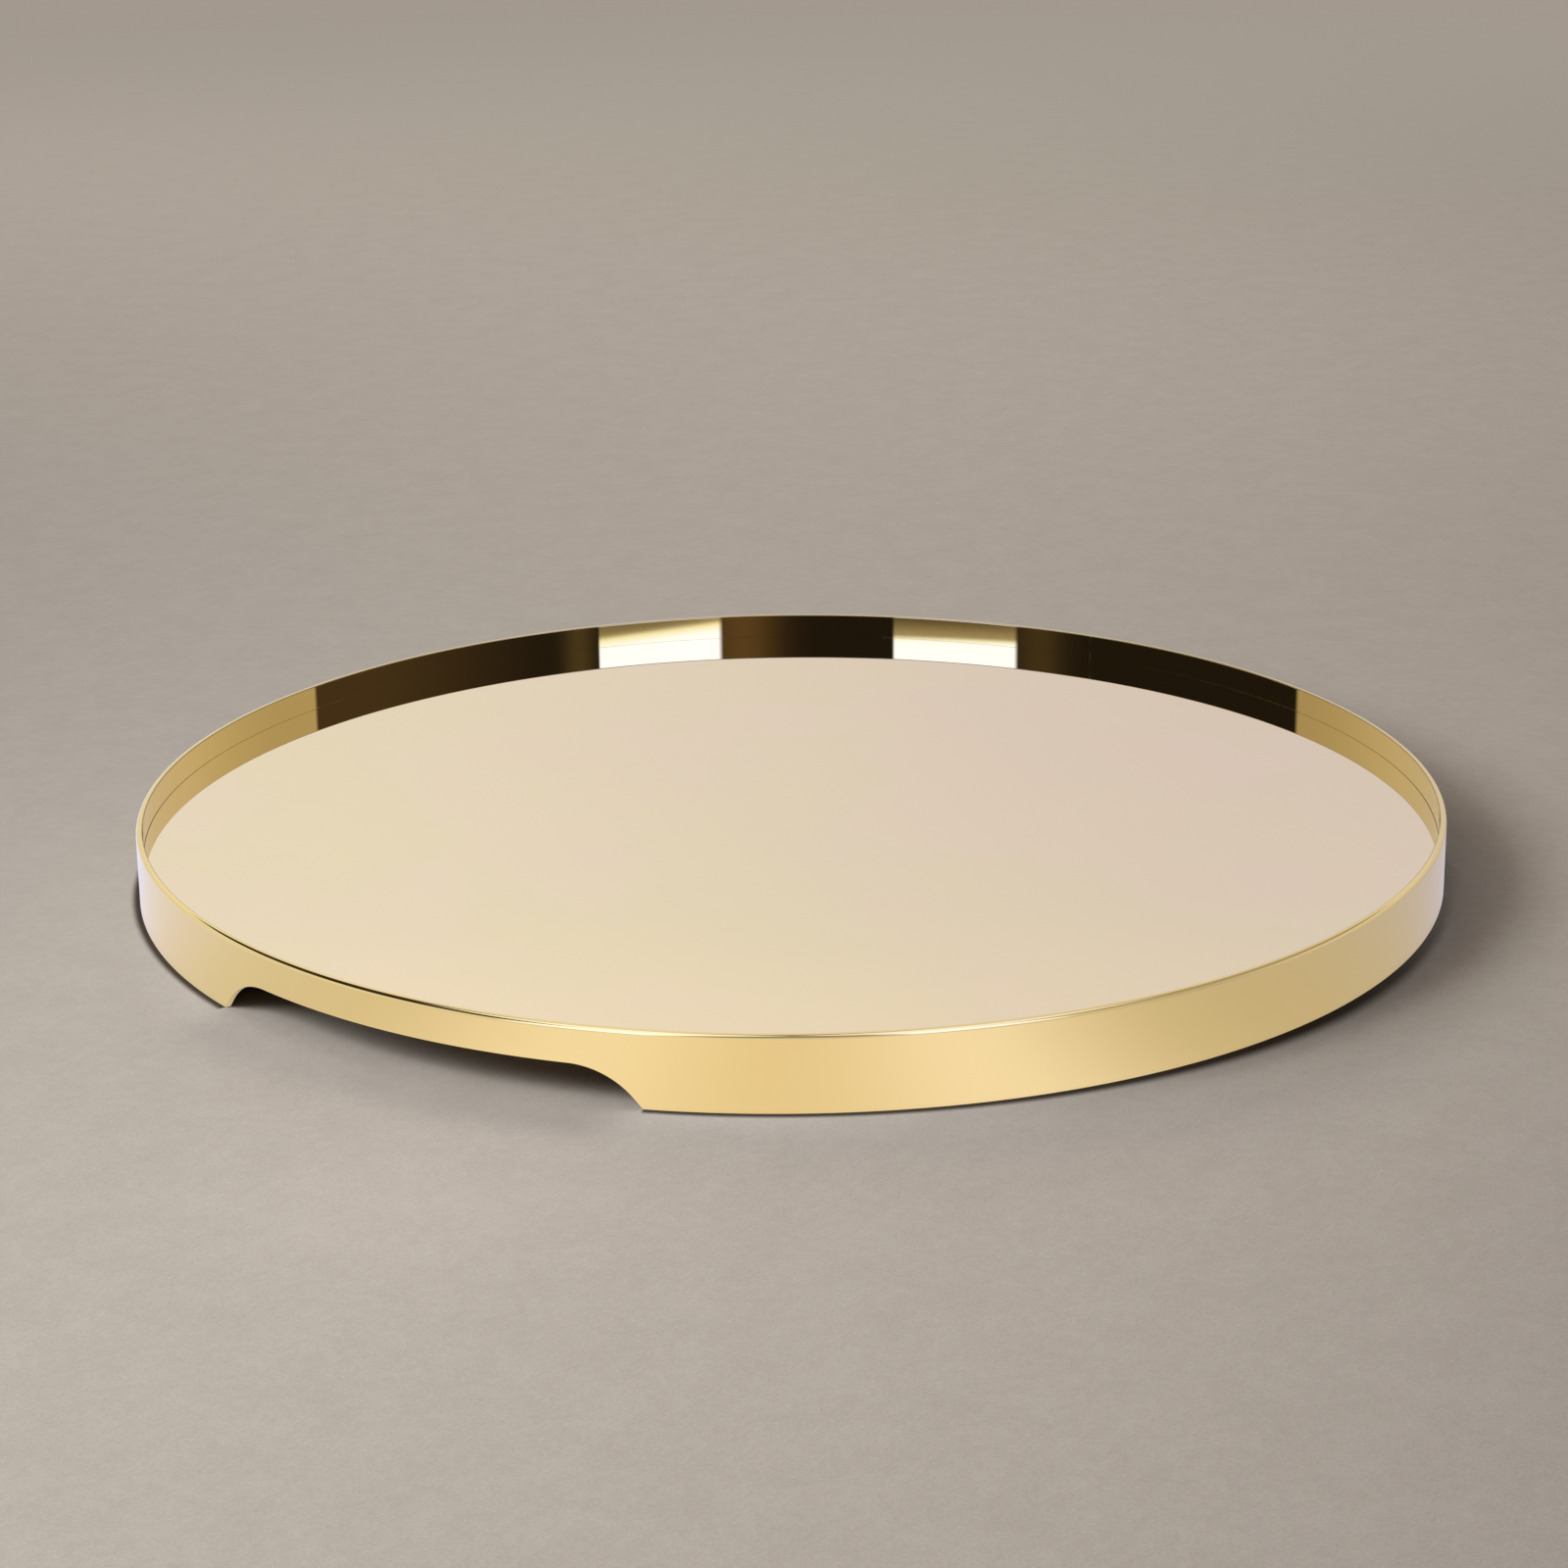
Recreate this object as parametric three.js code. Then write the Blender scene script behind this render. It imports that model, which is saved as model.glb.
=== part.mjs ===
// Round serving tray in mirror-polished brass, in millimetres, +Z up.
// A strip with two finger gaps along its lower edge is rolled into a ring and brazed at its butt seam.
// A flat disc is soldered inside it, part of the way down, so that the ring is both rim and foot.
// The origin is the centre of the circle that the tray stands on. The finger gaps lie at -X and +X.

import * as THREE from 'three';

// The band: one rolled strip that makes the rim above the plate and the foot below it. The rim's
// outer edge is filed round. Its inner edge and the foot's edges are only broken.
const TRAY_DIAMETER = 400;
const BAND_HEIGHT = 22;
const BAND_THICKNESS = 2;
const RIM_OUTER_EDGE_RADIUS = 1.3;
const RIM_INNER_EDGE_RADIUS = 0.3;
const FOOT_EDGE_RADIUS = 0.3;

// The finger gaps, measured on the strip's outer face: width at the foot, wall left between the
// gap's flat top and the plate's underside, radius of the round shoulders, and slope of the short
// straight flank that runs from a shoulder down to the foot.
const GRIP_COUNT = 2;
const GRIP_WIDTH = 145;
const GRIP_TO_PLATE = 1.2;
const GRIP_SHOULDER_RADIUS = 24;
const GRIP_FLANK_DEGREES = 50;

// The butt seam, at the middle of one finger gap, where the strip is narrowest.
const SEAM_WIDTH = 0.3;

// The plate, set below the rim.
const RECESS_DEPTH = 8;
const PLATE_THICKNESS = 1.5;
const PLATE_EDGE_RADIUS = 0.2;
const PLATE_TO_BAND_GAP = 0.25;

// The solder fillet in the corner under the plate.
const SOLDER_LEG = 0.9;
const SOLDER_TOE = 0.1;
const SOLDER_TO_BAND_GAP = 0.1;

// How finely curves are cut into facets.
const CIRCLE_STEPS = 180;
const SHOULDER_STEPS = 7;
const ROUND_EDGE_STEPS = 5;
const BROKEN_EDGE_STEPS = 2;
const FILLET_STEPS = 4;

const outerRadius = TRAY_DIAMETER / 2;
const innerRadius = outerRadius - BAND_THICKNESS;
const plateTop = BAND_HEIGHT - RECESS_DEPTH;
const plateUnderside = plateTop - PLATE_THICKNESS;
const gripHeight = plateUnderside - GRIP_TO_PLATE;

// One corner rounded by a quarter circle, as points going counter-clockwise from startAngle.
function roundedCorner(centreX, centreY, radius, startAngle, steps) {
  const points = [];
  for (let i = 0; i <= steps; i++) {
    const angle = startAngle + (Math.PI / 2) * (i / steps);
    points.push(
      new THREE.Vector2(centreX + radius * Math.cos(angle), centreY + radius * Math.sin(angle))
    );
  }
  return points;
}

// Where the finger gap's outline changes, as distances from the gap's middle along the outer face.
function gripOutline() {
  const flank = THREE.MathUtils.degToRad(GRIP_FLANK_DEGREES);
  const shoulderRadius = Math.min(GRIP_SHOULDER_RADIUS, gripHeight / (1 - Math.cos(flank)));
  const flankHeight = gripHeight - shoulderRadius * (1 - Math.cos(flank));
  const footCorner = GRIP_WIDTH / 2;
  const flankTop = footCorner - flankHeight / Math.tan(flank);
  const shoulderStart = flankTop - shoulderRadius * Math.sin(flank);
  return { flank, shoulderRadius, footCorner, flankTop, shoulderStart };
}

const grip = gripOutline();

// Height of the strip's lower edge at a distance from the middle of a finger gap.
function gripEdgeHeight(distance) {
  if (distance >= grip.footCorner) {
    return 0;
  }
  if (distance >= grip.flankTop) {
    return (grip.footCorner - distance) * Math.tan(grip.flank);
  }
  if (distance > grip.shoulderStart) {
    const along = distance - grip.shoulderStart;
    const below = grip.shoulderRadius - Math.sqrt(grip.shoulderRadius ** 2 - along ** 2);
    return gripHeight - below;
  }
  return gripHeight;
}

// Height of the lower edge at an angle round the tray, with the gaps spaced evenly from +X.
function lowerEdge(angle) {
  const pitch = (2 * Math.PI) / GRIP_COUNT;
  const fromGrip = Math.abs(angle - pitch * Math.round(angle / pitch));
  return gripEdgeHeight(fromGrip * outerRadius);
}

// Angles at which the strip gets a cross-section: an even step round the circle, and inside the
// shaped ends of each gap the corners of the outline and steps along the round shoulder instead.
function bandAngles() {
  const ends = [grip.footCorner, grip.flankTop];
  for (let i = 0; i < SHOULDER_STEPS; i++) {
    const turned = grip.flank * (i / SHOULDER_STEPS);
    ends.push(grip.shoulderStart + grip.shoulderRadius * Math.sin(turned));
  }
  const angles = [];
  for (let k = 0; k <= GRIP_COUNT; k++) {
    const middle = (2 * Math.PI * k) / GRIP_COUNT;
    for (const distance of ends) {
      angles.push(middle - distance / outerRadius, middle + distance / outerRadius);
    }
  }
  const step = (2 * Math.PI) / CIRCLE_STEPS;
  const crowding = step / 10;
  for (let i = 1; i < CIRCLE_STEPS; i++) {
    const height = lowerEdge(i * step);
    const clear = angles.every((angle) => Math.abs(angle - i * step) > crowding);
    if (clear && (height === 0 || height === gripHeight)) {
      angles.push(i * step);
    }
  }
  const inside = angles.filter((angle) => angle > crowding && angle < 2 * Math.PI - crowding);
  return inside.sort((a, b) => a - b);
}

// The strip's cross-section above a given lower edge, as points of radius and height.
function bandSection(bottom) {
  const foot = Math.min(FOOT_EDGE_RADIUS, 0.45 * BAND_THICKNESS);
  const outer = Math.min(RIM_OUTER_EDGE_RADIUS, 0.7 * BAND_THICKNESS);
  const inner = Math.min(RIM_INNER_EDGE_RADIUS, 0.25 * BAND_THICKNESS);
  const top = BAND_HEIGHT;
  return [
    ...roundedCorner(innerRadius + foot, bottom + foot, foot, Math.PI, BROKEN_EDGE_STEPS),
    ...roundedCorner(outerRadius - foot, bottom + foot, foot, 1.5 * Math.PI, BROKEN_EDGE_STEPS),
    ...roundedCorner(outerRadius - outer, top - outer, outer, 0, ROUND_EDGE_STEPS),
    ...roundedCorner(innerRadius + inner, top - inner, inner, 0.5 * Math.PI, BROKEN_EDGE_STEPS),
  ];
}

function sectionAtAngle(angle) {
  return bandSection(lowerEdge(angle)).map(
    (point) => new THREE.Vector3(point.x * Math.cos(angle), point.x * Math.sin(angle), point.y)
  );
}

// A cut end of the strip: the section at the seam, square to the strip, in a plane of constant y.
function sectionAtSeam(y) {
  return bandSection(lowerEdge(0)).map(
    (point) => new THREE.Vector3(Math.sqrt(point.x ** 2 - y ** 2), y, point.y)
  );
}

// A solid through a row of like convex sections, closed by a flat face at each end.
function loft(sections) {
  const count = sections[0].length;
  const indices = [];
  for (let i = 0; i + 1 < sections.length; i++) {
    for (let j = 0; j < count; j++) {
      const here = i * count + j;
      const next = i * count + ((j + 1) % count);
      indices.push(here, here + count, next + count, here, next + count, next);
    }
  }
  const last = (sections.length - 1) * count;
  for (let j = 1; j + 1 < count; j++) {
    indices.push(0, j, j + 1, last, last + j + 1, last + j);
  }
  const geometry = new THREE.BufferGeometry().setFromPoints(sections.flat());
  geometry.setIndex(indices);
  geometry.computeVertexNormals();
  return geometry;
}

// A solid of revolution about +Z from a profile of radius and height.
function turned(profile) {
  return new THREE.LatheGeometry(profile, CIRCLE_STEPS).rotateX(Math.PI / 2);
}

function polishedBrass(color, roughness) {
  return new THREE.MeshStandardMaterial({ color, roughness, metalness: 1 });
}

// The rolled strip, from one side of the seam all the way round to the other.
function rimBand() {
  const sections = [
    sectionAtSeam(SEAM_WIDTH / 2),
    ...bandAngles().map(sectionAtAngle),
    sectionAtSeam(-SEAM_WIDTH / 2),
  ];
  const mesh = new THREE.Mesh(loft(sections), polishedBrass(0xe3c078, 0.07));
  mesh.name = 'rim_band';
  return mesh;
}

// Brazing metal that fills the butt seam, dressed flush with the strip.
function rimSeamBraze() {
  const sections = [sectionAtSeam(-SEAM_WIDTH / 2), sectionAtSeam(SEAM_WIDTH / 2)];
  const mesh = new THREE.Mesh(loft(sections), polishedBrass(0xe6cf9a, 0.12));
  mesh.name = 'rim_seam_braze';
  return mesh;
}

// The disc that carries what is put on the tray, with its sharp edges broken.
function trayPlate() {
  const radius = innerRadius - PLATE_TO_BAND_GAP;
  const edge = Math.min(PLATE_EDGE_RADIUS, 0.45 * PLATE_THICKNESS);
  const profile = [
    new THREE.Vector2(0, 0),
    ...roundedCorner(radius - edge, edge, edge, 1.5 * Math.PI, BROKEN_EDGE_STEPS),
    ...roundedCorner(radius - edge, PLATE_THICKNESS - edge, edge, 0, BROKEN_EDGE_STEPS),
    new THREE.Vector2(0, PLATE_THICKNESS),
  ];
  const mesh = new THREE.Mesh(turned(profile), polishedBrass(0xe8d7bb, 0.05));
  mesh.name = 'tray_plate';
  mesh.position.z = plateUnderside;
  return mesh;
}

// Solder drawn by capillary action into the corner under the plate: a ring with a hollow face.
function plateSolderFillet() {
  const wall = innerRadius - SOLDER_TO_BAND_GAP;
  const profile = [
    new THREE.Vector2(wall, -SOLDER_LEG),
    new THREE.Vector2(wall, 0),
    new THREE.Vector2(wall - SOLDER_LEG, 0),
  ];
  const hollow = SOLDER_LEG - SOLDER_TOE;
  for (let i = 0; i <= FILLET_STEPS; i++) {
    const angle = (Math.PI / 2) * (1 - i / FILLET_STEPS);
    profile.push(
      new THREE.Vector2(
        wall - SOLDER_LEG + hollow * Math.cos(angle),
        -SOLDER_LEG + hollow * Math.sin(angle)
      )
    );
  }
  profile.push(profile[0].clone());
  const mesh = new THREE.Mesh(turned(profile), polishedBrass(0xcbb98f, 0.4));
  mesh.name = 'plate_solder_fillet';
  mesh.position.z = plateUnderside;
  return mesh;
}

const tray = new THREE.Group();
tray.add(rimBand(), rimSeamBraze(), trayPlate(), plateSolderFillet());

export default tray;
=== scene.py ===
# Round serving tray in mirror-polished brass, in metres, +Z up, standing on z = 0.
# The object is put together in the order a workshop would: the rolled band, the brazed seam, the
# plate and its solder. The floor and the studio round it come last.

import math

import bpy
from mathutils import Matrix, Vector


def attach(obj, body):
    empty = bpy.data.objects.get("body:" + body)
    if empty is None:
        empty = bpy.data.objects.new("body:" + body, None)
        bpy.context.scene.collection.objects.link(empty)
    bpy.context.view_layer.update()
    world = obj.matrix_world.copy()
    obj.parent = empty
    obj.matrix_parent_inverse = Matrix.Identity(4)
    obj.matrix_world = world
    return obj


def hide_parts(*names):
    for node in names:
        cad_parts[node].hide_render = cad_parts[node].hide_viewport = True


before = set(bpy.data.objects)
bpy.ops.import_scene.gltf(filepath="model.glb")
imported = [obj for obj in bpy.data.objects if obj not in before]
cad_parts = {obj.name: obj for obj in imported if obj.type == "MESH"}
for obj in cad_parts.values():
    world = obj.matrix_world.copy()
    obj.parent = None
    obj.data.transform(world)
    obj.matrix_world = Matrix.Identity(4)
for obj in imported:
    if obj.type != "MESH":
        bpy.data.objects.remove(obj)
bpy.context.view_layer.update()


# The photographer's camera
# A long lens about 1.2 m from the tray, a third of a right angle round from the finger gap at -X,
# which it has on its left. It looks slightly down, and its horizon leans by about half a degree.

RIM_HEIGHT = 0.022
CAMERA_BEARING = math.radians(-147.8)
CAMERA_ELEVATION = math.radians(18.552)
CAMERA_DISTANCE = 1.18936
CAMERA_TILT_DOWN = math.radians(18.445)
CAMERA_PAN = math.radians(0.103)
CAMERA_ROLL = math.radians(0.618)
LENS_MM = 88.37

toward_camera = Vector((math.cos(CAMERA_BEARING), math.sin(CAMERA_BEARING), 0.0))
to_the_right = Vector((-toward_camera.y, toward_camera.x, 0.0))

lens = bpy.data.cameras.new("studio_camera")
lens.lens = LENS_MM
lens.sensor_width = 36.0
lens.clip_start = 0.05
lens.clip_end = 100.0
camera = bpy.data.objects.new("studio_camera", lens)
bpy.context.scene.collection.objects.link(camera)
bpy.context.scene.camera = camera
camera_turn = math.atan2(toward_camera.x, -toward_camera.y) + CAMERA_PAN
camera.matrix_world = (
    Matrix.Translation(
        toward_camera * (CAMERA_DISTANCE * math.cos(CAMERA_ELEVATION))
        + Vector((0.0, 0.0, RIM_HEIGHT + CAMERA_DISTANCE * math.sin(CAMERA_ELEVATION)))
    )
    @ Matrix.Rotation(camera_turn, 4, "Z")
    @ Matrix.Rotation(math.radians(90.0) - CAMERA_TILT_DOWN, 4, "X")
    @ Matrix.Rotation(-CAMERA_ROLL, 4, "Z")
)


# The rolled band
# One brass strip, 2 mm thick and 22 mm wide, rolled on edge into a ring and mirror polished. It is
# the rim above the plate and the foot below it, with two shallow finger gaps cut in its lower edge.

BAND_RADIUS = 0.200
BAND_THICKNESS = 0.002
RIM_OUTER_EDGE = 0.0013
RIM_INNER_EDGE = 0.0003
FOOT_EDGE = 0.0003
GAP_HALF_WIDTH = 0.0725
GAP_HEIGHT = 0.0113
GAP_SHOULDER = 0.024
GAP_FLANK = math.radians(50.0)
GAP_CORNER = 0.0001
SEAM_WIDTH = 0.0003
EDGE_FACETS = 10
WALL_LOOP = 0.00008
STATIONS = 1080
STATION_SPACING = 0.00003
SHARP_ABOVE = 40.0

bore_radius = BAND_RADIUS - BAND_THICKNESS
flank_drop = GAP_HEIGHT - GAP_SHOULDER * (1.0 - math.cos(GAP_FLANK))
flank_top = GAP_HALF_WIDTH - flank_drop / math.tan(GAP_FLANK)
shoulder_start = flank_top - GAP_SHOULDER * math.sin(GAP_FLANK)


def foot_height(distance):
    """Height of the strip's lower edge at a distance along the strip from the middle of a gap."""
    if distance >= GAP_HALF_WIDTH:
        return 0.0
    if distance >= flank_top:
        return (GAP_HALF_WIDTH - distance) * math.tan(GAP_FLANK)
    if distance > shoulder_start:
        along = distance - shoulder_start
        return GAP_HEIGHT - GAP_SHOULDER + math.sqrt(GAP_SHOULDER**2 - along**2)
    return GAP_HEIGHT


def from_nearest_gap(angle):
    """Distance along the strip from the middle of the nearer finger gap, at +X or -X."""
    return abs(angle - math.pi * round(angle / math.pi)) * BAND_RADIUS


def softened_corner(radius, height, edge, start):
    """A corner rounded by a quarter circle, with a loop on the flat just before and after it."""
    points = []
    for i in range(EDGE_FACETS + 1):
        turn = start + math.pi / 2.0 * i / EDGE_FACETS
        points.append((radius + edge * math.cos(turn), height + edge * math.sin(turn)))
    before = (WALL_LOOP * math.sin(start), -WALL_LOOP * math.cos(start))
    after = (-WALL_LOOP * math.cos(start), -WALL_LOOP * math.sin(start))
    first, last = points[0], points[-1]
    return [
        (first[0] + before[0], first[1] + before[1]),
        *points,
        (last[0] + after[0], last[1] + after[1]),
    ]


def strip_section(bottom):
    """The strip's cross-section above its lower edge, as pairs of radius and height."""
    foot, outer, inner = FOOT_EDGE, RIM_OUTER_EDGE, RIM_INNER_EDGE
    return [
        *softened_corner(bore_radius + foot, bottom + foot, foot, math.pi),
        *softened_corner(BAND_RADIUS - foot, bottom + foot, foot, 1.5 * math.pi),
        *softened_corner(BAND_RADIUS - outer, RIM_HEIGHT - outer, outer, 0.0),
        *softened_corner(bore_radius + inner, RIM_HEIGHT - inner, inner, 0.5 * math.pi),
    ]


def section_at(angle):
    """The strip's cross-section where it stands, at an angle from +X."""
    return [
        (r * math.cos(angle), r * math.sin(angle), z)
        for r, z in strip_section(foot_height(from_nearest_gap(angle)))
    ]


def section_at_seam(y):
    """A cut end of the strip, square to it, where it meets the brazing metal."""
    return [(math.sqrt(r * r - y * y), y, z) for r, z in strip_section(foot_height(0.0))]


def station_angles():
    """Angles where the strip gets a section: evenly round, and close beside the gaps' corners."""
    angles = [2.0 * math.pi * i / STATIONS for i in range(1, STATIONS)]
    for corner in (GAP_HALF_WIDTH, flank_top):
        for distance in (corner - GAP_CORNER, corner, corner + GAP_CORNER):
            turn = distance / BAND_RADIUS
            for middle in (0.0, math.pi, 2.0 * math.pi):
                angles += [middle - turn, middle + turn]
    clear_of_seam = SEAM_WIDTH / BAND_RADIUS
    angles = sorted(a for a in angles if clear_of_seam < a < 2.0 * math.pi - clear_of_seam)
    spaced = [angles[0]]
    for angle in angles[1:]:
        if angle - spaced[-1] > STATION_SPACING / BAND_RADIUS:
            spaced.append(angle)
    return spaced


def add_mesh(name, points, faces, sharp_above=180.0):
    """A mesh object, shaded smooth except across edges sharper than an angle in degrees."""
    mesh = bpy.data.meshes.new(name)
    mesh.from_pydata(points, [], faces)
    mesh.polygons.foreach_set("use_smooth", [True] * len(mesh.polygons))
    mesh.set_sharp_from_angle(angle=math.radians(sharp_above))
    mesh.update()
    piece = bpy.data.objects.new(name, mesh)
    bpy.context.scene.collection.objects.link(piece)
    return piece


def skin(name, sections, ring=False):
    """A closed mesh through a row of like sections: a ring, or a bar with flat ends."""
    count = len(sections[0])
    points = [point for section in sections for point in section]
    faces = []
    for i in range(len(sections) if ring else len(sections) - 1):
        here = i * count
        there = (i + 1) % len(sections) * count
        for j in range(count):
            k = (j + 1) % count
            faces.append((here + j, there + j, there + k, here + k))
    if not ring:
        last = (len(sections) - 1) * count
        faces.append(tuple(range(count)))
        faces.append(tuple(last + j for j in reversed(range(count))))
    return add_mesh(name, points, faces, SHARP_ABOVE)


class Wire:
    """One output of a shader node. Arithmetic on it adds Math nodes to the same tree."""

    def __init__(self, tree, socket=None):
        self.tree = tree
        self.socket = socket

    def add(self, kind, settings=None, inputs=None, output=0):
        """Adds a node with its settings and its inputs, and returns one of its outputs."""
        node = self.tree.nodes.new(kind)
        for name, value in (settings or {}).items():
            setattr(node, name, value)
        for name, value in (inputs or {}).items():
            if isinstance(value, Wire):
                self.tree.links.new(value.socket, node.inputs[name])
            else:
                node.inputs[name].default_value = value
        return Wire(self.tree, node.outputs[output] if node.outputs else None)

    def math(self, operation, *values):
        return self.add("ShaderNodeMath", {"operation": operation}, dict(enumerate(values)))

    def vector(self, operation, *values, output="Vector"):
        return self.add(
            "ShaderNodeVectorMath", {"operation": operation}, dict(enumerate(values)), output
        )

    def times(self, colour, strength):
        """A colour times a strength that changes from place to place."""
        return self.add(
            "ShaderNodeVectorMath",
            {"operation": "SCALE"},
            {0: colour, "Scale": strength},
            "Vector",
        )

    def mix(self, factor, start, end):
        """Blends two colours."""
        return self.add(
            "ShaderNodeMix", {"data_type": "RGBA"}, {0: factor, 6: start, 7: end}, output=2
        )

    def rise(self, low, high):
        """0 below low, 1 above high and smooth between. With high under low it falls instead."""
        if high < low:
            return 1.0 - self.rise(high, low)
        return self.add(
            "ShaderNodeMapRange",
            {"interpolation_type": "SMOOTHSTEP"},
            {"Value": self, "From Min": low, "From Max": high},
        )

    def within(self, start, full, fading, end):
        """1 from full to fading, 0 before start and after end, and smooth between."""
        return self.rise(start, full) * self.rise(end, fading)

    def hump(self, middle, width):
        """1 at the middle, fading like a bell over the width."""
        away = (self - middle) / width
        return self.math("EXPONENT", away * away * -1.0)

    def place(self):
        """The place on the object, in metres from the middle of the circle it stands on."""
        return self.add("ShaderNodeTexCoord", output="Object")

    def part(self, name):
        return self.add("ShaderNodeSeparateXYZ", inputs={"Vector": self}, output=name)

    def from_axis(self):
        """How far a place is from the tray's axis."""
        x, y = self.part("X"), self.part("Y")
        return (x * x + y * y) ** 0.5

    def join(self, x, y, z):
        return self.add("ShaderNodeCombineXYZ", inputs={"X": x, "Y": y, "Z": z})

    def noise(self, place, scale, detail=2.0, roughness=0.5):
        return self.add(
            "ShaderNodeTexNoise",
            inputs={"Vector": place, "Scale": scale, "Detail": detail, "Roughness": roughness},
        )

    def ray(self, name):
        """What the light path says of the ray that asks."""
        return self.add("ShaderNodeLightPath", output=name)

    def __add__(self, other):
        return self.math("ADD", self, other)

    __radd__ = __add__

    def __sub__(self, other):
        return self.math("SUBTRACT", self, other)

    def __rsub__(self, other):
        return self.math("SUBTRACT", other, self)

    def __mul__(self, other):
        return self.math("MULTIPLY", self, other)

    __rmul__ = __mul__

    def __truediv__(self, other):
        return self.math("DIVIDE", self, other)

    def __pow__(self, other):
        return self.math("POWER", self, other)


def material(name):
    """A new empty material and the wire that its nodes are added through."""
    made = bpy.data.materials.new(name)
    made.use_nodes = True
    made.node_tree.nodes.clear()
    return made, Wire(made.node_tree)


def finish_metal(wire, colour, roughness, height, depth):
    """Ends a metal's nodes: its colour, its roughness and a relief of the given depth in metres."""
    relief = wire.add(
        "ShaderNodeBump", inputs={"Strength": 1.0, "Distance": depth, "Height": height}
    )
    shader = wire.add(
        "ShaderNodeBsdfPrincipled",
        inputs={
            "Base Color": colour, "Metallic": 1.0, "Roughness": roughness, "Normal": relief
        },
    )
    wire.add("ShaderNodeOutputMaterial", inputs={"Surface": shader})


def dress(piece, made, node):
    """Gives a piece its finish and fixes it to the tray, in place of its plain node."""
    piece.data.materials.append(made)
    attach(piece, "root")
    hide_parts(node)


half_seam = SEAM_WIDTH / 2.0
sections = map(section_at, station_angles())
rim_band = skin(
    "rim_band_polished",
    [section_at_seam(half_seam), *sections, section_at_seam(-half_seam)],
)

BAND_BRASS = (0.89, 0.73, 0.37, 1.0)
BAND_TARNISH = (0.84, 0.66, 0.31, 1.0)
# A darker brass that paints shade on the rim's inner edge and on the foot.
SHADED_EDGE_BRASS = (0.45, 0.36, 0.20, 1.0)

band_brass, wire = material("band_polished_brass")
place = wire.place()
along = wire.math("ARCTAN2", place.part("Y") * -1.0, place.part("X") * -1.0) * BAND_RADIUS
height = place.part("Z")
hairlines = wire.noise(wire.join(along * 14.0, height * 5200.0, 0.0), 1.0, 3.0, 0.6)
tarnish = wire.noise(place, 22.0, 4.0, 0.55).rise(0.50, 0.78)
finger_marks = (
    wire.noise(place, 75.0, 1.0).rise(0.52, 0.66)
    * wire.math("ABSOLUTE", along).rise(0.075, 0.040)
    * height.rise(0.008, 0.013)
)
# The foot's lowest fifth of a millimetre: scuffed a little rougher, and darkened as painted shade.
scuffed_and_shaded_foot = height.rise(0.0002, 0.0001)
# The rim's inner edge: filed rougher, and darkened in colour as painted shade.
filed_and_shaded_inner_edge = (
    place.from_axis().rise(bore_radius + 0.00035, bore_radius + 0.00020)
    * height.rise(RIM_HEIGHT - 0.00035, RIM_HEIGHT - 0.00025)
)
face_colour = wire.mix(tarnish * 0.22 + finger_marks * 0.12, BAND_BRASS, BAND_TARNISH)
face_roughness = 0.012 + 0.012 * hairlines.rise(0.5, 0.8) + 0.02 * finger_marks
finish_metal(
    wire,
    colour=wire.mix(filed_and_shaded_inner_edge + 0.2 * scuffed_and_shaded_foot, face_colour, SHADED_EDGE_BRASS),
    roughness=face_roughness + 0.30 * filed_and_shaded_inner_edge + 0.10 * scuffed_and_shaded_foot,
    height=wire.noise(place, 24.0, 1.0),
    depth=0.0000012,
)
dress(rim_band, band_brass, "rim_band")


# The brazed seam
# Brazing metal that closes the strip's butt joint in the middle of the finger gap at +X. It is
# dressed flush and polished with the band, and shows as a paler hairline.

seam_braze = skin("rim_seam_braze_line", [section_at_seam(-half_seam), section_at_seam(half_seam)])

SEAM_BRASS = (0.89, 0.76, 0.46, 1.0)
SEAM_DULL = (0.72, 0.60, 0.40, 1.0)

braze, wire = material("seam_braze_metal")
pores = wire.noise(wire.place(), 2600.0, 3.0).rise(0.56, 0.66)
finish_metal(
    wire,
    colour=wire.mix(pores, SEAM_BRASS, SEAM_DULL),
    roughness=0.03 + 0.12 * pores,
    height=pores,
    depth=-0.00001,
)
dress(seam_braze, braze, "rim_seam_braze")


# The plate
# A flat brass disc, 1.5 mm thick, set 8 mm below the rim and polished to a mirror on its upper
# face. The underside keeps a plain brushed finish, with a heat tint where it was soldered.

PLATE_TOP = 0.014
PLATE_THICKNESS = 0.0015
PLATE_RADIUS = 0.1979
PLATE_EDGE = 0.00003
PLATE_RINGS = (0.002, 0.05, 0.10, 0.15, 0.185)
PLATE_STEPS = 720

plate_underside = PLATE_TOP - PLATE_THICKNESS


def plate_profile():
    """Half of the disc's cross-section, from near its axis underneath to near its axis on top."""
    rim = PLATE_RADIUS - PLATE_EDGE
    return [
        *((r, plate_underside) for r in PLATE_RINGS),
        *softened_corner(rim, plate_underside + PLATE_EDGE, PLATE_EDGE, 1.5 * math.pi),
        *softened_corner(rim, PLATE_TOP - PLATE_EDGE, PLATE_EDGE, 0.0),
        *((r, PLATE_TOP) for r in reversed(PLATE_RINGS)),
    ]


def disc(name, profile, steps):
    """A solid of revolution about Z whose profile starts and ends close to the axis."""
    count = len(profile)
    points = []
    faces = []
    for i in range(steps):
        angle = 2.0 * math.pi * i / steps
        points += [(r * math.cos(angle), r * math.sin(angle), z) for r, z in profile]
        here = i * count
        there = (i + 1) % steps * count
        for j in range(count - 1):
            faces.append((here + j, there + j, there + j + 1, here + j + 1))
    faces.append(tuple(i * count for i in reversed(range(steps))))
    faces.append(tuple(i * count + count - 1 for i in range(steps)))
    return add_mesh(name, points, faces)


plate = disc("tray_plate_polished", plate_profile(), PLATE_STEPS)

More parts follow.
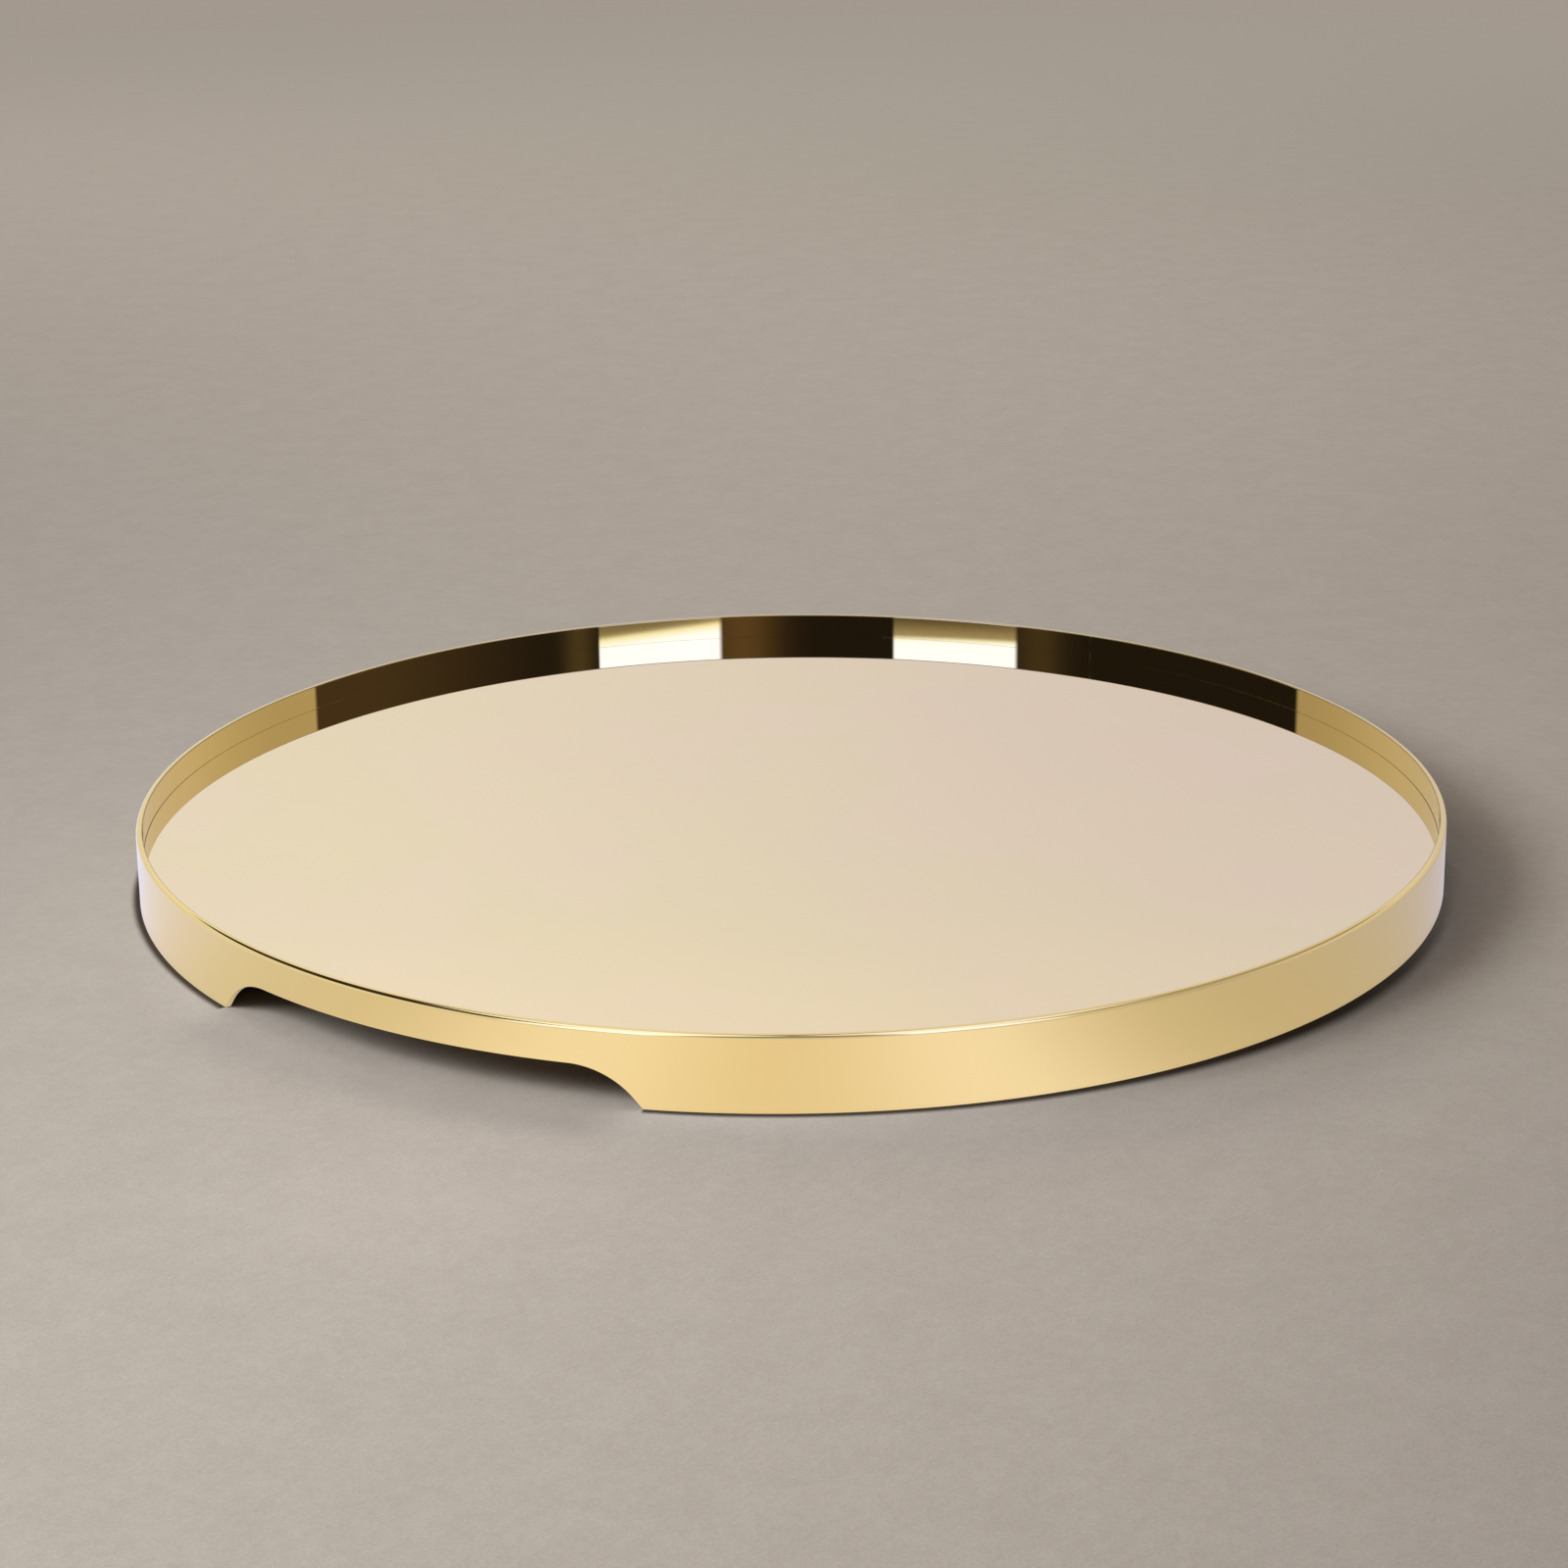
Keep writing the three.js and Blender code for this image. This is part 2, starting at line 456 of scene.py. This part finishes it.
PLATE_BRASS = (0.91, 0.80, 0.60, 1.0)
PLATE_CLOUD = (0.92, 0.79, 0.63, 1.0)
UNDERSIDE_BRASS = (0.84, 0.68, 0.38, 1.0)
HEAT_TINT = (0.52, 0.31, 0.16, 1.0)

plate_brass, wire = material("plate_polished_brass")
place = wire.place()
x, y = place.part("X"), place.part("Y")
from_axis = place.from_axis()
turn = wire.math("ARCTAN2", y, x)
underneath = place.part("Z").rise(PLATE_TOP - 0.0006, PLATE_TOP - 0.0010)
cloud = wire.noise(place, 13.0, 3.0, 0.5).rise(0.40, 0.62)
rings = wire.noise(wire.join(from_axis * 2400.0, turn * 9.0, 0.0), 1.0, 3.0, 0.6)
buffing = rings.rise(0.55, 0.80)
brushed = wire.noise(wire.join(x * 60.0, y * 2600.0, 0.0), 1.0, 3.0, 0.6)
heated = from_axis.rise(0.176, 0.196) * underneath
tint = wire.noise(place, 60.0, 3.0).rise(0.25, 0.75)
finish_metal(
    wire,
    colour=wire.mix(
        underneath,
        wire.mix(cloud, PLATE_BRASS, PLATE_CLOUD),
        wire.mix(heated * (0.35 + 0.6 * tint), UNDERSIDE_BRASS, HEAT_TINT),
    ),
    roughness=0.012 + 0.012 * buffing + underneath * (0.22 + 0.14 * brushed + 0.1 * heated),
    height=wire.noise(place, 17.0, 1.0) + underneath * brushed * 3.0,
    depth=0.0000014,
)
dress(plate, plate_brass, "tray_plate")


# The solder
# Yellow solder, drawn up by capillary action between the plate and the band. It fills the narrow
# slit round the plate almost to the top and stands in a hollow satin fillet underneath.

SOLDER_WALL = 0.19799
SOLDER_SLIT = 0.19791
SOLDER_LEG = 0.0009
SOLDER_IN_SLIT = 0.0134
SOLDER_UNDER_PLATE = 0.00001
SOLDER_HOLLOW = 0.93
SOLDER_STEPS = 720
SOLDER_FACETS = 6


def solder_section(angle):
    """The solder's cross-section, a little longer or shorter in the leg as it ran and set."""
    flow = 0.10 * math.sin(7.0 * angle + 0.6) + 0.07 * math.sin(17.0 * angle + 2.1)
    flow += 0.05 * math.sin(41.0 * angle + 4.0)
    leg = SOLDER_LEG * (0.86 + flow)
    level_in_slit = SOLDER_IN_SLIT + 0.00003 * math.sin(23.0 * angle + 1.0)
    under_plate = plate_underside - SOLDER_UNDER_PLATE
    toe, heel = SOLDER_WALL - leg, plate_underside - leg
    profile = [
        (SOLDER_WALL, heel),
        (SOLDER_WALL, level_in_slit),
        (SOLDER_SLIT, level_in_slit),
        (SOLDER_SLIT, under_plate),
        (toe, under_plate),
    ]
    hollow = leg * SOLDER_HOLLOW
    for i in range(1, SOLDER_FACETS):
        turn = math.pi / 2.0 * (1.0 - i / SOLDER_FACETS)
        profile.append((toe + hollow * math.cos(turn), heel + hollow * math.sin(turn)))
    return [(r * math.cos(angle), r * math.sin(angle), h) for r, h in profile]


solder_ring = skin(
    "plate_solder_ring",
    [solder_section(2.0 * math.pi * i / SOLDER_STEPS) for i in range(SOLDER_STEPS)],
    ring=True,
)

SOLDER_METAL = (0.74, 0.66, 0.45, 1.0)
SOLDER_FLUX = (0.38, 0.27, 0.14, 1.0)

solder, wire = material("flowed_solder")
place = wire.place()
flux = wire.noise(place, 420.0, 4.0, 0.6).rise(0.52, 0.72)
finish_metal(
    wire,
    colour=wire.mix(flux * 0.8, SOLDER_METAL, SOLDER_FLUX),
    roughness=0.30 + 0.28 * flux,
    height=wire.noise(place, 700.0, 3.0),
    depth=0.00005,
)
dress(solder_ring, solder, "plate_solder_fillet")


# The floor
# A plain pale studio floor with the fine grain of painted canvas, running back without a corner.
# Part of its light and shade is painted into its colour. In place of it metal mirrors a separate
# glow, picked by the light path and brighter where the windows fall.

FLOOR_RADIUS = 30.0
FLOOR_SIDES = 72
FLOOR_PALE = (0.393, 0.348, 0.302, 1.0)
FLOOR_DEEP = (0.363, 0.320, 0.276, 1.0)
BACKDROP = (0.366, 0.320, 0.277, 1.0)
# The colour of the painted contact shadow at the tray's foot.
CONTACT_SHADOW_BROWN = (0.024, 0.013, 0.006, 1.0)
GLOW_ROUND = Vector((0.60, 0.54, 0.47))
GLOW_FRONT = Vector((0.22, 0.165, 0.09))
GLOW_LEFT_WINDOW = Vector((0.20, 0.23, 0.32))
GLOW_RIGHT_WINDOW = Vector((0.27, 0.29, 0.42))
GLOW_LEFT_SIDE = Vector((0.33, 0.35, 0.33))
GLOW_LEFT_BLUE = Vector((0.02, 0.03, 0.30))
GLOW_RIGHT_BLUE = Vector((0.00, 0.02, 0.17))
GLOW_FAR_LEFT = Vector((-0.08, -0.05, 0.12))
GLOW_NEAR_LEFT = Vector((0.00, 0.00, 0.08))


def facing(bearing):
    """The level direction at a bearing in degrees from the camera's, positive to the right."""
    turn = math.radians(bearing)
    return toward_camera * math.cos(turn) + to_the_right * math.sin(turn)


def level(wire, direction):
    """A direction laid flat, with a length of one."""
    return wire.vector("NORMALIZE", wire.vector("MULTIPLY", direction, (1.0, 1.0, 0.0)))


def lobe(wire, heading, bearing, width):
    """1 where a level direction has the bearing, fading like a bell over the width in degrees."""
    nearness = wire.vector("DOT_PRODUCT", heading, facing(bearing), output="Value")
    return wire.math("EXPONENT", (nearness - 1.0) * (2.0 / math.radians(width) ** 2))


def light_sum(wire, base, *lamps):
    """Adds lamps, each a colour and the strength that it has here, to a base colour."""
    total = base
    for colour, strength in lamps:
        total = wire.vector("ADD", total, wire.times(colour, strength))
    return total


def pool(across, ahead, strength, right, front, width, length=None):
    """A factor for a soft pool of light on the floor, or of shade with a negative strength."""
    return 1.0 + strength * across.hump(right, width) * ahead.hump(front, length or width)


floor_turns = [2.0 * math.pi * i / FLOOR_SIDES for i in range(FLOOR_SIDES)]
floor = add_mesh(
    "studio_floor",
    [(FLOOR_RADIUS * math.cos(turn), FLOOR_RADIUS * math.sin(turn), 0.0) for turn in floor_turns],
    [tuple(range(FLOOR_SIDES))],
)

canvas, wire = material("studio_canvas")
place = wire.place()
from_axis = place.from_axis()
heading = level(wire, place)
across = wire.vector("DOT_PRODUCT", place, to_the_right, output="Value")
ahead = wire.vector("DOT_PRODUCT", place, toward_camera, output="Value")

# The painted canvas, whose grain shows more toward the camera.
grain = wire.noise(place, 260.0, 3.0, 0.6) * 0.6 + wire.noise(place, 60.0, 2.0) * 0.4
speckle = (wire.noise(place, 1000.0, 2.0, 0.6) - 0.5) * (0.04 + 0.24 * ahead.rise(-0.25, 0.25))
canvas_colour = wire.mix(grain.rise(0.30, 0.70), FLOOR_DEEP, FLOOR_PALE)
canvas_colour = wire.times(canvas_colour, 1.0 + speckle)

# A painted contact shadow: the dark line where the foot meets the floor. It leaves out the finger
# gaps, is widest in front and to the right, and is faint at its right end.
beside_gap = wire.math("ABSOLUTE", place.part("Y")) / from_axis
gap_edge = math.sin(GAP_HALF_WIDTH / BAND_RADIUS)
at_foot = beside_gap.rise(gap_edge - 0.0025, gap_edge + 0.0025) * from_axis.rise(0.1965, 0.1980)
shade_side = lobe(wire, heading, 47.0, 24.0)
away = (from_axis - BAND_RADIUS) / (0.0024 + 0.0034 * shade_side)
darkness = (0.92 + 0.05 * shade_side) * (1.0 - 0.9 * lobe(wire, heading, 84.0, 18.0))
contact_shadow = away.rise(1.35, 0.35) * darkness * at_foot

# Softer painted shade behind the band, before the finger gaps and close round the foot.
behind_band = 1.0 - 0.36 * from_axis.hump(0.184, 0.0075)
before_gap = 1.0 - 0.13 * beside_gap.rise(0.38, 0.28) * from_axis.hump(0.213, 0.010)
round_foot = 1.0 - (0.02 + 0.23 * shade_side) * from_axis.hump(0.203, 0.010)
shade = behind_band * before_gap * round_foot

# Broad pools of painted light and shade, where the real floor is lighter or darker than these
# lamps make it.
painted_light_pools = (
    pool(across, ahead, -0.50, right=-0.83, front=-0.235, width=0.86)
    * pool(across, ahead, -0.50, right=0.67, front=0.43, width=0.76)
    * pool(across, ahead, 0.50, right=0.00, front=0.30, width=0.46)
    * pool(across, ahead, 0.29, right=0.03, front=-0.52, width=0.65)
    * pool(across, ahead, 0.08, right=0.27, front=-0.02, width=0.11, length=0.20)
    * pool(across, ahead, 0.08, right=-0.10, front=0.25, width=0.05)
    * (1.0 + 0.65 * across.rise(0.34, 0.90) * ahead.rise(-0.90, -0.35))
    * (1.0 + 0.80 * across.rise(0.31, 0.85) * ahead.rise(-0.10, 0.50))
    * pool(across, ahead, -0.60, right=-1.24, front=0.66, width=0.56)
)
lit_canvas = wire.mix(contact_shadow, wire.times(canvas_colour, painted_light_pools * shade), CONTACT_SHADOW_BROWN)
near_floor = wire.add("ShaderNodeBsdfDiffuse", inputs={"Color": lit_canvas})
far_floor = wire.add("ShaderNodeEmission", inputs={"Color": BACKDROP})
seen = wire.add(
    "ShaderNodeMixShader", inputs={0: from_axis.rise(0.95, 2.1), 1: near_floor, 2: far_floor}
)

# What the metal mirrors of the floor: a glow, with painted shade under the tray.
lit_floor = light_sum(
    wire,
    GLOW_ROUND,
    (GLOW_FRONT, lobe(wire, heading, -8.0, 37.0)),
    (GLOW_LEFT_WINDOW, lobe(wire, heading, -20.0, 14.0)),
    (GLOW_RIGHT_WINDOW, lobe(wire, heading, 17.0, 13.0)),
    (GLOW_LEFT_SIDE, lobe(wire, heading, -105.0, 50.0)),
    (GLOW_LEFT_BLUE, lobe(wire, heading, -120.0, 45.0)),
    (GLOW_RIGHT_BLUE, lobe(wire, heading, 78.0, 20.0)),
    (GLOW_FAR_LEFT, lobe(wire, heading, -91.0, 11.0)),
    (GLOW_NEAR_LEFT, lobe(wire, heading, -72.0, 7.0)),
)
under_tray = from_axis.rise(0.203, 0.188)
mirrored = wire.add(
    "ShaderNodeEmission", inputs={"Color": wire.times(lit_floor, 1.0 - 0.62 * under_tray)}
)
in_metal = wire.ray("Is Glossy Ray") * wire.ray("Diffuse Depth").rise(0.9, 0.1)
top = wire.add("ShaderNodeMixShader", inputs={0: in_metal, 1: seen, 2: mirrored})

# From underneath the floor is clear, so that the tray's underside can be seen.
from_below = wire.add("ShaderNodeNewGeometry", output="Backfacing")
clear = wire.add("ShaderNodeBsdfTransparent")
surface = wire.add("ShaderNodeMixShader", inputs={0: from_below, 1: top, 2: clear})
wire.add("ShaderNodeOutputMaterial", inputs={"Surface": surface})
floor.data.materials.append(canvas)


# The studio light
# Daylight from a wide window on the left, with softer light from the back. What metal mirrors is
# not one real room: the light path picks a pale room for a first mirroring, and for a second one
# a room that is dark on the camera's side except for two windows.

LEFT_WINDOW_SIDES = (-44.9, -43.8, -20.5, -19.8)
RIGHT_WINDOW_SIDES = (12.6, 13.8, 36.6, 37.2)
DARK_SIDES = (-110.8, -109.4, 100.2, 101.2)
WINDOW_EDGE = Vector((1.15, 1.25, 0.90))
WINDOW = Vector((0.18, 0.45, 2.75))
WINDOW_HIGH = Vector((0.50, 0.60, 1.35))
ZENITH = Vector((0.26, 0.36, 0.75))
BEAM_LEFT = (0.045, 0.030, 0.020, 1.0)
BEAM_RIGHT = (0.46, 0.40, 0.31, 1.0)
BETWEEN_WINDOWS = (0.36, 0.31, 0.27, 1.0)
SILL = Vector((0.20, 0.182, 0.145))
ROOM_RIGHT = Vector((0.715, 0.655, 0.660))
ROOM_LEFT = Vector((0.125, 0.140, 0.055))
ROOM_HIGH = Vector((0.045, 0.060, 0.030))
ROOM_ABOVE = Vector((0.060, 0.040, 0.000))
ROOM_SIDE = Vector((0.48, 0.435, 0.325))
ROOM_SIDE_FAR = Vector((0.16, 0.155, 0.15))
DARK_ROOM = Vector((0.016, 0.013, 0.012))
DARK_RIGHT_WARM = Vector((0.050, 0.034, 0.020))
DARK_CAMERA_WARM = Vector((0.100, 0.064, 0.032))
DARK_RIGHT_EDGE = Vector((0.060, 0.046, 0.026))
DARK_LEFT_EDGE = Vector((0.045, 0.034, 0.018))
LEFT_SKY = Vector((0.91, 0.80, 0.76))
FRONT_LIGHT = Vector((6.4, 8.3, 16.8))

world = bpy.data.worlds.new("studio")
bpy.context.scene.world = world
world.use_nodes = True
world.node_tree.nodes.clear()
wire = Wire(world.node_tree)
direction = wire.add("ShaderNodeTexCoord", output="Generated")
heading = level(wire, direction)
across = wire.vector("DOT_PRODUCT", direction, to_the_right, output="Value")
ahead = wire.vector("DOT_PRODUCT", direction, toward_camera, output="Value")

# Bearings and heights in the room are in degrees, seen from the tray. Bearings are positive to
# the camera's right and 0 toward it.
azimuth = wire.math("ARCTAN2", across, ahead) * math.degrees(1.0)
elevation = wire.math("ARCSINE", direction.part("Z")) * math.degrees(1.0)
aside = wire.math("ABSOLUTE", azimuth)

# What the metal mirrors by way of another mirroring face: the windows' panes and sills, low on
# the dark side of the room.
right_window = azimuth.within(*RIGHT_WINDOW_SIDES)
left_window = azimuth.within(*LEFT_WINDOW_SIDES)
over_right_sill = elevation - (15.892 + 0.0092 * azimuth)
over_left_sill = elevation - (16.19 - 0.0031 * azimuth)
lower_panes = (right_window + left_window) * elevation.within(5.0, 6.0, 15.5, 15.7)
pane_edges = right_window * over_right_sill.rise(-0.04, 0.045)
pane_edges = pane_edges + left_window * over_left_sill.rise(-0.03, 0.03)
panes = right_window * over_right_sill.rise(-0.03, 0.20)
panes = panes + left_window * over_left_sill.rise(-0.01, 0.09)
below_top = elevation.rise(52.0, 48.0)
right_sill = right_window * over_right_sill.rise(0.0, -0.05)
left_sill = left_window * over_left_sill.rise(0.0, -0.05)
sills = right_sill * (1.10 + 0.75 * over_right_sill.rise(-0.10, 0.0))
sills = sills + left_sill * (0.45 + 1.60 * over_left_sill.rise(-0.30, 0.03))
dark_side = azimuth.within(*DARK_SIDES)
twice = light_sum(
    wire,
    DARK_ROOM,
    (ROOM_SIDE, (1.0 - dark_side) * (1.03 - 0.11 * azimuth.rise(60.0, -60.0))),
    (ROOM_SIDE_FAR, aside.rise(108.0, 150.0)),
    (DARK_RIGHT_WARM, azimuth.rise(40.0, 90.0) * dark_side),
    (DARK_CAMERA_WARM, azimuth.hump(9.0, 6.5)),
    (DARK_RIGHT_EDGE, azimuth.hump(41.0, 3.0)),
    (DARK_LEFT_EDGE, azimuth.hump(-49.0, 5.0)),
    (SILL, sills * elevation.rise(15.4, 15.6)),
    (WINDOW_EDGE, (pane_edges + lower_panes) * below_top),
    (WINDOW, (panes + lower_panes) * below_top),
)

# What the metal mirrors directly: pale walls, a beam along each side above them, the upper panes
# of the two windows with a plain wall between, and the light overhead.
left_of_room = wire.math("SINE", azimuth * math.radians(1.0)).rise(0.16, -0.16)
upper_panes = azimuth.within(-51.0, -49.0, -24.5, -22.5) + azimuth.within(18.5, 20.5, 46.0, 48.0)
upper_panes = upper_panes * elevation.within(15.0, 17.0, 60.0, 68.0)
beam = elevation.within(28.0, 33.0, 56.0, 62.0) * aside.within(52.0, 57.0, 155.0, 165.0)
between = aside.rise(24.0, 18.0) * elevation.rise(30.0, 40.0)
between = between + aside.rise(168.0, 173.0) * elevation.rise(45.0, 55.0)
overhead = elevation.rise(54.0, 68.0) * aside.within(20.0, 26.0, 160.0, 172.0)
low_right = azimuth.hump(72.0, 14.0) * elevation.rise(30.0, 20.0)
walls = light_sum(
    wire,
    ROOM_RIGHT,
    (ROOM_LEFT, left_of_room),
    (ROOM_HIGH, elevation.rise(16.0, 22.0)),
    (ROOM_ABOVE, elevation.rise(20.0, 22.5)),
)
walls = wire.mix(between, wire.times(walls, 1.0 - 0.3 * low_right), BETWEEN_WINDOWS)
beams = wire.mix(azimuth.rise(20.0, -20.0), BEAM_RIGHT, BEAM_LEFT)
once = light_sum(
    wire,
    wire.mix(beam, walls, beams),
    (WINDOW_HIGH, upper_panes),
    (ZENITH, overhead),
)

# The window light that the metal throws on the floor, and the soft light on the floor itself.
front = lobe(wire, heading, -5.0, 45.0) * elevation.within(12.0, 20.0, 46.0, 54.0)
bounced = wire.times(FRONT_LIGHT, front)
soft = wire.times(LEFT_SKY, lobe(wire, heading, -80.0, 85.0) * elevation.rise(0.0, 20.0))
mirrored = wire.mix(wire.ray("Glossy Depth").rise(1.1, 1.9), once, twice)
off_metal = wire.mix(wire.ray("Diffuse Depth").rise(0.9, 0.1), bounced, mirrored)
lit = wire.mix(wire.ray("Is Glossy Ray"), soft, off_metal)
shown = wire.mix(wire.ray("Is Camera Ray"), lit, BACKDROP)
glow = wire.add("ShaderNodeBackground", inputs={"Color": shown})
wire.add("ShaderNodeOutputWorld", inputs={"Surface": glow})


def lamp_window(name, bearing, elevation, distance, size, watts, colour):
    """A square lamp that faces the tray and isn't mirrored in it."""
    lamp = bpy.data.lights.new(name, "AREA")
    lamp.shape = "SQUARE"
    lamp.size = size
    lamp.energy = watts
    lamp.color = colour
    rise = math.radians(elevation)
    direction = facing(bearing) * math.cos(rise) + Vector((0.0, 0.0, math.sin(rise)))
    stand = bpy.data.objects.new(name, lamp)
    stand.location = direction * distance
    stand.rotation_mode = "QUATERNION"
    stand.rotation_quaternion = (-stand.location).to_track_quat("-Z", "Y")
    stand.visible_glossy = False
    bpy.context.scene.collection.objects.link(stand)


lamp_window(
    "side_window_light",
    bearing=-62.0, elevation=34.0, distance=1.7, size=0.7, watts=22.6, colour=(0.93, 1.00, 1.02),
)
lamp_window(
    "far_side_window_light",
    bearing=-85.0, elevation=25.0, distance=1.7, size=0.7, watts=8.6, colour=(0.86, 1.00, 1.25),
)
lamp_window(
    "back_light",
    bearing=180.0, elevation=22.5, distance=2.6, size=0.6, watts=10.4, colour=(0.83, 1.00, 0.95),
)
lamp_window(
    "back_left_light",
    bearing=-140.0, elevation=30.0, distance=2.6, size=1.0, watts=17.0, colour=(1.06, 1.00, 0.97),
)

bpy.context.scene.view_settings.view_transform = "Standard"
bpy.context.scene.view_settings.look = "None"
bpy.context.scene.view_settings.exposure = 0.0
bpy.context.scene.view_settings.gamma = 1.0
